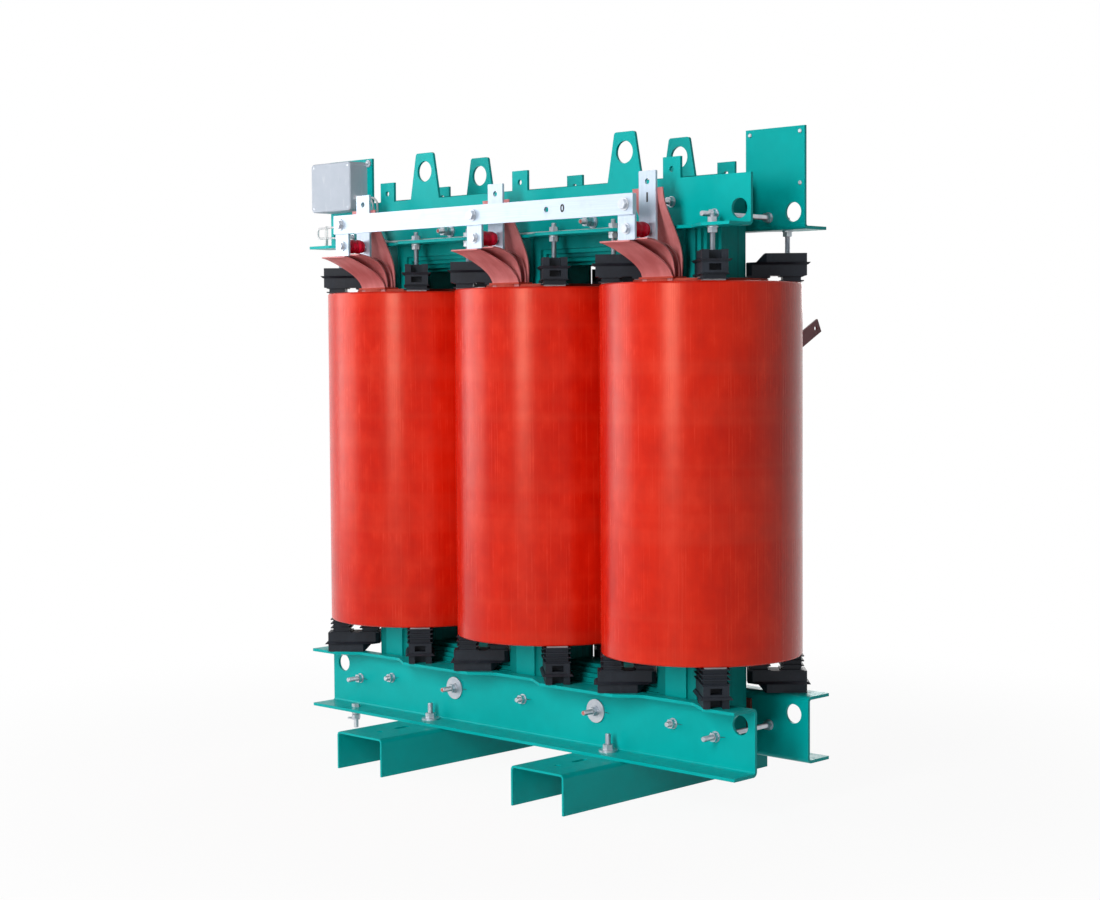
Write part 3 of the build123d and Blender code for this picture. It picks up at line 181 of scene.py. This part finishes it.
# ---- Base channels and clamps ----------------------------------------------------------------------
# Folded sheet steel, sprayed with a satin teal enamel after welding and drilling. The film has a fine
# orange peel and holds a trace of dust on level faces.
def new_material(name, roughness, metallic=0.0, shine=0.5, glint=(1, 1, 1, 1)):
    """A material with its principled shader and a first wire: object coordinates in metres.

    shine is the strength of its reflections and glint their tint.
    """
    material = bpy.data.materials.new(name)
    material.use_nodes = True
    surface = material.node_tree.nodes["Principled BSDF"]
    surface.inputs["Roughness"].default_value = roughness
    surface.inputs["Metallic"].default_value = metallic
    surface.inputs["Specular IOR Level"].default_value = shine
    surface.inputs["Specular Tint"].default_value = glint
    place = Wire(material.node_tree).node("TexCoord", output="Object")
    return material, surface, place


def noise(place, scale, stretch=(1, 1, 1), detail=3.0):
    """Soft random value from 0 to 1, at scale cells to the metre along each axis times stretch."""
    spread = place.node("Mapping", inputs={"Vector": place, "Scale": stretch})
    inputs = {"Vector": spread, "Scale": scale, "Detail": detail, "Roughness": 0.55}
    return place.node("TexNoise", inputs=inputs)


def plug(surface, **wires):
    """Join wires to the shader's sockets, with underscores for the spaces in their names."""
    for name, wire in wires.items():
        socket = surface.inputs[name.replace("_", " ")]
        wire.tree.links.new(wire.socket, socket)


def bump(height, strength, distance):
    """A normal from a height wire, distance being the full height in metres."""
    inputs = {"Height": height, "Strength": strength, "Distance": distance}
    return height.node("Bump", inputs=inputs)


def dress(material, *names):
    """Give the named pieces of the frame this material in every slot."""
    for name in names:
        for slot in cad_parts[name].material_slots:
            slot.material = material


def enamel(name, thin, full, peel):
    """Sprayed enamel, thin and full being its colour in a light and a heavy coat."""
    material, surface, place = new_material(name, 0.34, shine=0.2, glint=(0.35, 1, 1, 1))
    cloud = noise(place, 5.0)
    patches = noise(place, 38.0, detail=5.0)
    shade = (cloud * 0.75 + patches * 0.25).between(0.3, 0.72).tint(full, thin)
    facing = place.node("NewGeometry", output="Normal")
    level = place.node("SeparateXYZ", inputs={"Vector": facing}, output="Z")
    dust = level.between(0.6, 1.0) * noise(place, 60.0, detail=6.0).between(0.42, 0.8) * 0.22
    colour = dust.tint(shade, (0.23, 0.42, 0.39, 1))
    rough = 0.27 + patches * 0.16 + dust * 0.8
    plug(surface, Base_Color=colour, Roughness=rough, Normal=bump(noise(place, 420.0), peel, 0.0006))
    return material


green = enamel("teal_enamel", (0.0, 0.49, 0.475, 1), (0.0, 0.42, 0.405, 1), 0.16)
dress(green, "base_channel_left", "base_channel_right", "lower_clamp_front", "lower_clamp_back")
dress(green, "upper_clamp_front", "upper_clamp_back")


# ---- Core ------------------------------------------------------------------------------------------
# Stacked silicon-steel sheets, painted over in the same teal once the yokes are laced in. The edges of
# the sheets show through the paint as fine lines, and the paint is thicker and duller than the enamel.
def stacked(name, thin, full, dark, stretch):
    """Sheets on edge: fine lines of the dark colour, long where stretch is small."""
    material, surface, place = new_material(name, 0.5, shine=0.18, glint=(0.6, 1, 1, 1))
    sheets = noise(place, 260.0, stretch, detail=2.0)
    broad = noise(place, 70.0, stretch, detail=1.0)
    runs = noise(place, 7.0, detail=4.0)
    shade = runs.between(0.3, 0.7).tint(full, thin)
    lines = sheets.between(0.58, 0.70) * 0.5 + broad.between(0.6, 0.68) * 0.35
    height = sheets * 0.6 + broad
    plug(surface, Base_Color=lines.tint(shade, dark), Roughness=0.42 + runs * 0.2)
    plug(surface, Normal=bump(height, 0.5, 0.0012))
    return material


core_paint = stacked(
    "core_paint", (0.0, 0.35, 0.33, 1), (0.0, 0.26, 0.25, 1), (0.0, 0.10, 0.105, 1), (0.02, 1, 0.02)
)
dress(core_paint, "core_leg_u", "core_leg_v", "core_leg_w", "core_yoke_bottom", "core_yoke_top")
dress(green, "leg_tie_plates")
laminate = stacked(
    "pressed_laminate", (0.30, 0.09, 0.07, 1), (0.20, 0.06, 0.05, 1), (0.09, 0.03, 0.025, 1), (0.3, 1, 0.05)
)
dress(laminate, "yoke_insulation_sheets", "core_bolt_sleeves")


# ---- Windings --------------------------------------------------------------------------------------
# The outer winding is cast under vacuum in a polished tube mould: orange-red resin with the mould's fine
# upright drag lines, faint level rings where the wound sections lie, and cloudy, slightly duller patches.
def cast_resin(name, deep, bright, pale, gloss, rings):
    """Moulded resin: body between deep and bright, drag lines of the pale colour."""
    material, surface, place = new_material(name, gloss, shine=0.45, glint=(1, 0.48, 0.34, 1))
    drag = noise(place, 330.0, (1, 1, 0.012), detail=4.0)
    fine = noise(place, 900.0, (1, 1, 0.03), detail=2.0)
    cloud = noise(place, 3.2, (1, 1, 0.55), detail=4.0)
    mottle = noise(place, 26.0, (1, 1, 0.6), detail=6.0)
    height = place.node("SeparateXYZ", inputs={"Vector": place}, output="Z")
    ring = noise(place, 14.0, (0.02, 0.02, 1), detail=3.0).between(0.45, 0.62) * rings
    body = (cloud * 0.6 + mottle * 0.4).between(0.32, 0.68).tint(deep, bright)
    chalk = drag.between(0.48, 0.8) * 0.18 + mottle.between(0.5, 0.75) * 0.08 + ring * 0.08
    # The colour is darker towards the bottom of the winding: noisy patches shade it towards deep, fully
    # below 0.33 m and fading out by 0.60 m.
    foot = 1 - height.between(0.33, 0.60)
    colour = (chalk * (0.75 + cloud * 0.5)).tint(body, pale)
    darker_low_down = (foot * noise(place, 11.0, detail=5.0).between(0.5, 0.7) * 0.25).tint(colour, deep)
    rough = gloss + drag * 0.20 + mottle * 0.06 - ring * 0.03
    grain = drag * 0.7 + fine * 0.35 + ring * 0.5 + mottle * 0.3
    plug(surface, Base_Color=darker_low_down, Roughness=rough, Normal=bump(grain, 0.22, 0.0006))
    return material


outer_resin = cast_resin(
    "orange_red_resin", (0.57, 0.006, 0.001, 1), (0.77, 0.017, 0.003, 1), (0.86, 0.11, 0.06, 1), 0.12, 1.0
)
dress(outer_resin, "hv_coil_u", "hv_coil_v", "hv_coil_w")
inner_resin = cast_resin(
    "brick_resin", (0.40, 0.03, 0.018, 1), (0.56, 0.07, 0.045, 1), (0.62, 0.20, 0.16, 1), 0.42, 0.4
)
dress(inner_resin, "lv_coil_u", "lv_coil_v", "lv_coil_w")


# ---- Winding supports ------------------------------------------------------------------------------
# Moulded blocks and ribbed packing pieces of glass-filled polyester, blue-black and slightly chalky,
# with pale grey resin-bonded pads where the windings rest on them.
def moulding(name, dark, pale, roughness, grain):
    """Moulded plastic with specks, clouds and paler scuffs."""
    material, surface, place = new_material(name, roughness, shine=0.25)
    cloud = noise(place, 22.0, detail=5.0)
    specks = noise(place, 520.0, detail=2.0)
    scuffs = noise(place, 65.0, (1, 1, 0.25), detail=6.0).between(0.56, 0.75)
    shade = (cloud * 0.7 + specks * 0.3).between(0.3, 0.75).tint(dark, pale)
    colour = (scuffs * 0.3).tint(shade, tuple(min(1.0, c * 1.9 + 0.015) for c in pale[:3]) + (1,))
    plug(surface, Base_Color=colour, Roughness=roughness + cloud * 0.14 + scuffs * 0.12)
    plug(surface, Normal=bump(specks + cloud * 0.6, grain, 0.0008))
    return material


blue_black, slate = (0.008, 0.011, 0.017, 1), (0.020, 0.026, 0.037, 1)
block_moulding = moulding("blue_black_moulding", blue_black, slate, 0.42, 0.35)
dress(block_moulding, "lower_support_blocks", "upper_support_blocks", "support_shims")
dress(moulding("pad_grey", (0.36, 0.36, 0.37, 1), (0.50, 0.50, 0.51, 1), 0.6, 0.4), "coil_pads")


# ---- Zinc-plated fasteners -------------------------------------------------------------------------
# Bolts, nuts and washers in bright passivated zinc. The long studs and rods are cut from threaded bar,
# so each is made here with its real thread: one ridge to every pitch, leaning like a screw.
def plated(name, base, tinge, roughness, metallic):
    """Plated metal, clouded from base to tinge and finely scratched."""
    material, surface, place = new_material(name, roughness, metallic)
    cloud = noise(place, 55.0, detail=4.0)
    scratches = noise(place, 700.0, (1, 0.12, 1), detail=3.0)
    colour = cloud.between(0.35, 0.68).tint(base, tinge)
    plug(surface, Base_Color=colour, Roughness=roughness + cloud * 0.16 + scratches * 0.08)
    plug(surface, Normal=bump(scratches, 0.14, 0.0003))
    return material


zinc = plated("bright_zinc", (0.56, 0.58, 0.61, 1), (0.46, 0.50, 0.56, 1), 0.3, 0.88)
dress(zinc, "tie_rod_nuts", "core_bolt_washers", "core_bolt_nuts", "tie_plate_nuts", "support_bolts")
dress(zinc, "support_nuts", "base_bolt_washers", "base_bolt_nuts", "earthing_bolt", "bar_bolts")
dress(zinc, "insulator_screws", "terminal_box_screws", "plate_rivets", "tap_hardware")


def add_piece(name, mesh, material, slot, *stands_for):
    """A new piece that rides on the root, and takes the place of any plain ones named."""
    piece = bpy.data.objects.new(name, mesh)
    bpy.context.scene.collection.objects.link(piece)
    mesh.materials.clear()
    mesh.materials.append(material)
    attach(piece, "root")
    if stands_for:
        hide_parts(*stands_for)
    return piece


def threaded_bar(build, start, axis, length, radius, pitch, plain=None):
    """Threaded bar from start along axis. plain is the stretch, as two lengths, left unthreaded."""
    sides, rows_per_pitch, depth = 14, 4, 0.55 * pitch
    turned = Vector((0, 0, 1)).rotation_difference(Vector(axis)).to_matrix()
    heights = []
    step = pitch / rows_per_pitch
    for row in range(int(length / step) + 1):
        height = row * step
        if plain is None or not plain[0] + step < height < plain[1] - step:
            heights.append(height)
    heights.append(length)
    rings = []
    for height in heights:
        ring = []
        point = min(height, length - height)
        for side in range(sides):
            around = side / sides
            phase = (height / pitch - around) % 1.0
            groove = depth * abs(2 * phase - 1)
            if plain and plain[0] <= height <= plain[1]:
                groove = 0.0
            bar_radius = min(radius - groove, radius - depth + point)
            angle = around * 2 * math.pi
            local = Vector((bar_radius * math.cos(angle), bar_radius * math.sin(angle), height))
            ring.append(build.verts.new(Vector(start) + turned @ local))
        rings.append(ring)
    for lower, upper in zip(rings, rings[1:]):
        for side in range(sides):
            beside = (side + 1) % sides
            build.faces.new((lower[side], lower[beside], upper[beside], upper[side]))
    build.faces.new(list(reversed(rings[0])))
    build.faces.new(rings[-1])


def finish_mesh(build, name, smooth_angle=40):
    """Mesh from a build, smooth where faces meet at less than the angle in degrees."""
    mesh = bpy.data.meshes.new(name)
    build.to_mesh(mesh)
    build.free()
    mesh.shade_smooth()
    mesh.set_sharp_from_angle(angle=math.radians(smooth_angle))
    return mesh


def add_bars(name, build, stands_for, smooth_angle=40):
    mesh = finish_mesh(build, name, smooth_angle)
    add_piece(name, mesh, zinc, "zinc", stands_for)


m12_radius, m12_pitch = 0.006, 0.00175


def crosswise(name, middle=False):
    """Centre lines, as (x, z), and box corners of a set of bars that lie along Y, in rows from a box."""
    low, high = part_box(name)
    across = [low.x + m12_radius, high.x - m12_radius]
    if middle:
        across.insert(1, 0.0)
    return [(x, z) for x in across for z in (low.z + m12_radius, high.z - m12_radius)], low, high


# Four tie rods beyond the outer legs, from clamp to clamp
rod_lines, low, high = crosswise("tie_rods")
build = bmesh.new()
for x, z in rod_lines:
    threaded_bar(build, (x, low.y, z), (0, 1, 0), high.y - low.y, m12_radius, m12_pitch)
add_bars("threaded_tie_rods", build, "tie_rods")

# Four core bolts, threaded at both ends
bolt_lines, low, high = crosswise("core_bolts")
bolt_front, bolt_length, end_thread = low.y, high.y - low.y, 0.052
plain = (end_thread, bolt_length - end_thread)
build = bmesh.new()
for x, z in bolt_lines:
    threaded_bar(build, (x, bolt_front, z), (0, 1, 0), bolt_length, m12_radius, m12_pitch, plain)
add_bars("threaded_core_bolts", build, "core_bolts")

# Twelve short studs that hold the tie plates
stud_lines, low, high = crosswise("tie_plate_studs", middle=True)
plate_low, plate_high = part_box("leg_tie_plates")
build = bmesh.new()
for x, z in stud_lines:
    for start, stop in ((low.y, plate_low.y), (plate_high.y, high.y)):
        threaded_bar(build, (x, start, z), (0, 1, 0), stop - start, m12_radius, m12_pitch)
add_bars("threaded_plate_studs", build, "tie_plate_studs")

# Twelve adjusting studs that press the upper blocks down on the windings
low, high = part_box("support_studs")
coil_low, coil_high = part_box("hv_coil_u")
coil_pitch = (coil_low.x + coil_high.x) / 2
stud_reach = high.x - m12_radius - coil_pitch
build = bmesh.new()
for coil_x in (-coil_pitch, 0.0, coil_pitch):
    for x in (coil_x - stud_reach, coil_x + stud_reach):
        for y in (low.y + m12_radius, high.y - m12_radius):
            threaded_bar(build, (x, y, low.z), (0, 0, 1), high.z - low.z, m12_radius, m12_pitch)
add_bars("threaded_support_studs", build, "support_studs")

# Four base bolts: hexagon heads inside the channels, threads standing above the nuts
low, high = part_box("base_bolts")
channel_low, channel_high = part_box("base_channel_right")
channel_x = (channel_low.x + channel_high.x) / 2
bolt_radius, bolt_pitch, head_across, head_high, head_bevel = 0.007, 0.002, 0.022, 0.009, 0.001
corner = head_across / math.sqrt(3)
hexagon = [(corner * math.cos(math.pi * k / 3), corner * math.sin(math.pi * k / 3)) for k in range(6)]
bolt_y = high.y - head_across / 2
threads = high.z - low.z - head_high
build = bmesh.new()
for x in (-channel_x, channel_x):
    for y in (-bolt_y, bolt_y):
        threaded_bar(build, (x, y, low.z + head_high), (0, 0, 1), threads, bolt_radius, bolt_pitch)
        under, edge, seat = (
            [build.verts.new((x + dx * share, y + dy * share, low.z + rise)) for dx, dy in hexagon]
            for share, rise in ((0.93, 0), (1, head_bevel), (1, head_high))
        )
        for first, second in ((under, edge), (edge, seat)):
            for k in range(6):
                build.faces.new((first[k], first[(k + 1) % 6], second[(k + 1) % 6], second[k]))
        build.faces.new(list(reversed(under)))
        build.faces.new(seat)
add_bars("threaded_base_bolts", build, "base_bolts", 30)


# ---- Low-voltage bars ------------------------------------------------------------------------------
# Drawn aluminium flat, cut, drilled and left bare: pale, with the die's fine lines along each bar and
# a few darker handling marks.
def drawn_bar(name, stretch):
    """Bare flat bar, its drawing lines running along the axis where stretch is small."""
    material, surface, place = new_material(name, 0.36, 0.4)
    lines = noise(place, 900.0, stretch, detail=3.0)
    marks = noise(place, 24.0, detail=5.0).between(0.5, 0.72)
    shade = lines.between(0.3, 0.7).tint((0.50, 0.60, 0.71, 1), (0.58, 0.67, 0.79, 1))
    plug(surface, Base_Color=(marks * 0.25).tint(shade, (0.38, 0.44, 0.53, 1)))
    plug(surface, Roughness=0.28 + lines * 0.2, Normal=bump(lines, 0.12, 0.0003))
    return material


dress(drawn_bar("level_flat_bar", (0.012, 1, 1)), "neutral_bar")
upright_bar = drawn_bar("upright_flat_bar", (1, 1, 0.012))
dress(upright_bar, "phase_bar_u", "phase_bar_v", "phase_bar_w", "neutral_lead_bars")
insulator_red = moulding("insulator_resin", (0.88, 0.0, 0.03, 1), (0.98, 0.006, 0.05, 1), 0.22, 0.12)
dress(insulator_red, "standoff_insulators")

# Plain bold numerals stamped in black ink: 1, 2 and 3 on the phase bars and 0 on the neutral bar
ink, ink_surface, ink_place = new_material("black_ink", 0.6)
ink_wear = noise(ink_place, 260.0, detail=4.0).between(0.3, 0.7)
plug(ink_surface, Base_Color=ink_wear.tint((0.012, 0.012, 0.016, 1), (0.03, 0.03, 0.038, 1)))
ink_thick, ink_bold, below_bar_top, neutral_x = 0.00015, 0.0009, 0.058, 0.285
low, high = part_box("neutral_bar")
numeral_spots = [("0", 0.0231, (neutral_x, low.y, (low.z + high.z) / 2))]
for numeral, phase in (("1", "u"), ("2", "v"), ("3", "w")):
    low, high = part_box(f"phase_bar_{phase}")
    numeral_spots.append((numeral, 0.02772, ((low.x + high.x) / 2, low.y, high.z - below_bar_top)))
for numeral, size, (x, y, z) in numeral_spots:
    text = bpy.data.curves.new(f"numeral_{numeral}", "FONT")
    text.body, text.size, text.extrude = numeral, size, ink_thick
    text.align_x, text.align_y, text.offset = "CENTER", "CENTER", ink_bold
    drawn = bpy.data.objects.new("numeral_drawing", text)
    bpy.context.scene.collection.objects.link(drawn)
    bpy.context.view_layer.update()
    mesh = bpy.data.meshes.new_from_object(drawn)
    bpy.data.objects.remove(drawn)
    upright = Matrix.Rotation(math.pi / 2, 4, "X")
    mesh.transform(Matrix.Translation((x, y - ink_thick, z)) @ upright)
    add_piece(f"ink_numeral_{numeral}", mesh, ink, "ink")


# ---- Foil leads ------------------------------------------------------------------------------------
# Broad strips of aluminium foil, welded to the bars and dipped in brick-red varnish that is pinkish
# where it dried thin, with brush runs along each strip.
varnish, varnish_surface, varnish_place = new_material("brick_varnish", 0.45)
runs = noise(varnish_place, 60.0, (1, 0.25, 0.25), detail=5.0)
blots = noise(varnish_place, 17.0, detail=4.0)
varnish_tone = (runs * 0.5 + blots * 0.5).between(0.34, 0.68)
varnish_colour = varnish_tone.tint((0.58, 0.16, 0.16, 1), (0.74, 0.27, 0.27, 1))
plug(varnish_surface, Base_Color=varnish_colour, Roughness=0.36 + runs * 0.22)
plug(varnish_surface, Normal=bump(runs + blots * 0.5, 0.3, 0.0008))
dress(varnish, "neutral_foils_front", "neutral_foils_rear", "phase_foils_front", "phase_foils_rear")


# ---- Terminal box ----------------------------------------------------------------------------------
# A moulded polycarbonate box, pale blue-grey with a fine spark texture, and its pale nylon glands.
box_grey = moulding("box_grey", (0.50, 0.56, 0.64, 1), (0.56, 0.61, 0.69, 1), 0.5, 0.25)
dress(box_grey, "terminal_box", "terminal_box_lid")
dress(plated("gland_metal", (0.72, 0.74, 0.76, 1), (0.60, 0.62, 0.66, 1), 0.3, 0.7), "cable_glands")


# ---- Sensor leads ----------------------------------------------------------------------------------
# White silicone-jacketed leads with natural nylon ties.
dress(moulding("white_jacket", (0.66, 0.68, 0.70, 1), (0.82, 0.83, 0.84, 1), 0.45, 0.2), "sensor_leads")
dress(moulding("natural_nylon", (0.70, 0.72, 0.72, 1), (0.85, 0.86, 0.86, 1), 0.35, 0.1), "lead_ties")


# ---- High-voltage side -----------------------------------------------------------------------------
# Dipped copper strips with bolt holes, and delta rods in a shrunk red sleeve.
dress(moulding("dipped_copper", (0.16, 0.055, 0.065, 1), (0.27, 0.11, 0.12, 1), 0.38, 0.2), "hv_terminals")
dress(moulding("red_sleeve", (0.42, 0.02, 0.014, 1), (0.55, 0.04, 0.028, 1), 0.42, 0.2), "delta_links")


# ---- Witness marks ---------------------------------------------------------------------------------
# A short black pen stroke from each tightened nut out over the enamel, and red lacquer on the ends of
# the core bolts: signs that the torque was checked.
stroke_long, stroke_wide, stroke_thick, stroke_lift = 0.013, 0.0016, 0.0001, 0.0002
clear_of_nut, clear_of_broad_washer = 0.0125, 0.0275
stroke_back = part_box("terminal_box")[1].y - stroke_lift
stroke_spots = []
for lines, start in (
    (rod_lines, clear_of_nut),
    (bolt_lines, clear_of_broad_washer),
    (stud_lines, clear_of_nut),
):
    stroke_spots += [(x, z, start) for x, z in lines[::2]]
build = bmesh.new()
for index, (x, z, start) in enumerate(stroke_spots):
    slope = 0.06 * ((index * 5) % 7 - 3)
    end = start + stroke_long
    outline = []
    for along, across in ((start, -1), (end, -0.6), (end, 0.6), (start, 1)):
        outline.append((x + along, z + slope * (along - start) + across * stroke_wide / 2))
    front = [build.verts.new((px, stroke_back - stroke_thick, pz)) for px, pz in outline]
    back = [build.verts.new((px, stroke_back, pz)) for px, pz in outline]
    build.faces.new(front)
    build.faces.new(list(reversed(back)))
    for k in range(4):
        build.faces.new((front[k], back[k], back[(k + 1) % 4], front[(k + 1) % 4]))
bmesh.ops.recalc_face_normals(build, faces=build.faces)
add_piece("pen_strokes", finish_mesh(build, "pen_strokes"), ink, "ink")

lacquer, lacquer_surface, lacquer_place = new_material("red_lacquer", 0.4)
lacquer_tone = noise(lacquer_place, 300.0, detail=3.0).between(0.35, 0.65)
plug(lacquer_surface, Base_Color=lacquer_tone.tint((0.55, 0.10, 0.08, 1), (0.70, 0.22, 0.18, 1)))
blob_sides, blob_radius, blob_high, blob_lift = 16, 0.0044, 0.0007, 0.0001
build = bmesh.new()
for x, z in bolt_lines:
    rim = []
    centre = build.verts.new((x, bolt_front - blob_high, z))
    for side in range(blob_sides):
        angle = side * 2 * math.pi / blob_sides
        reach = blob_radius * (1 + 0.06 * math.sin(3 * angle + x * 40))
        dx, dz = reach * math.cos(angle), reach * math.sin(angle)
        rim.append(build.verts.new((x + dx, bolt_front - blob_lift, z + dz)))
    for side in range(blob_sides):
        build.faces.new((centre, rim[side], rim[(side + 1) % blob_sides]))
    build.faces.new(list(reversed(rim)))
bmesh.ops.recalc_face_normals(build, faces=build.faces)
add_piece("bolt_end_lacquer", finish_mesh(build, "bolt_end_lacquer", 60), lacquer, "lacquer")
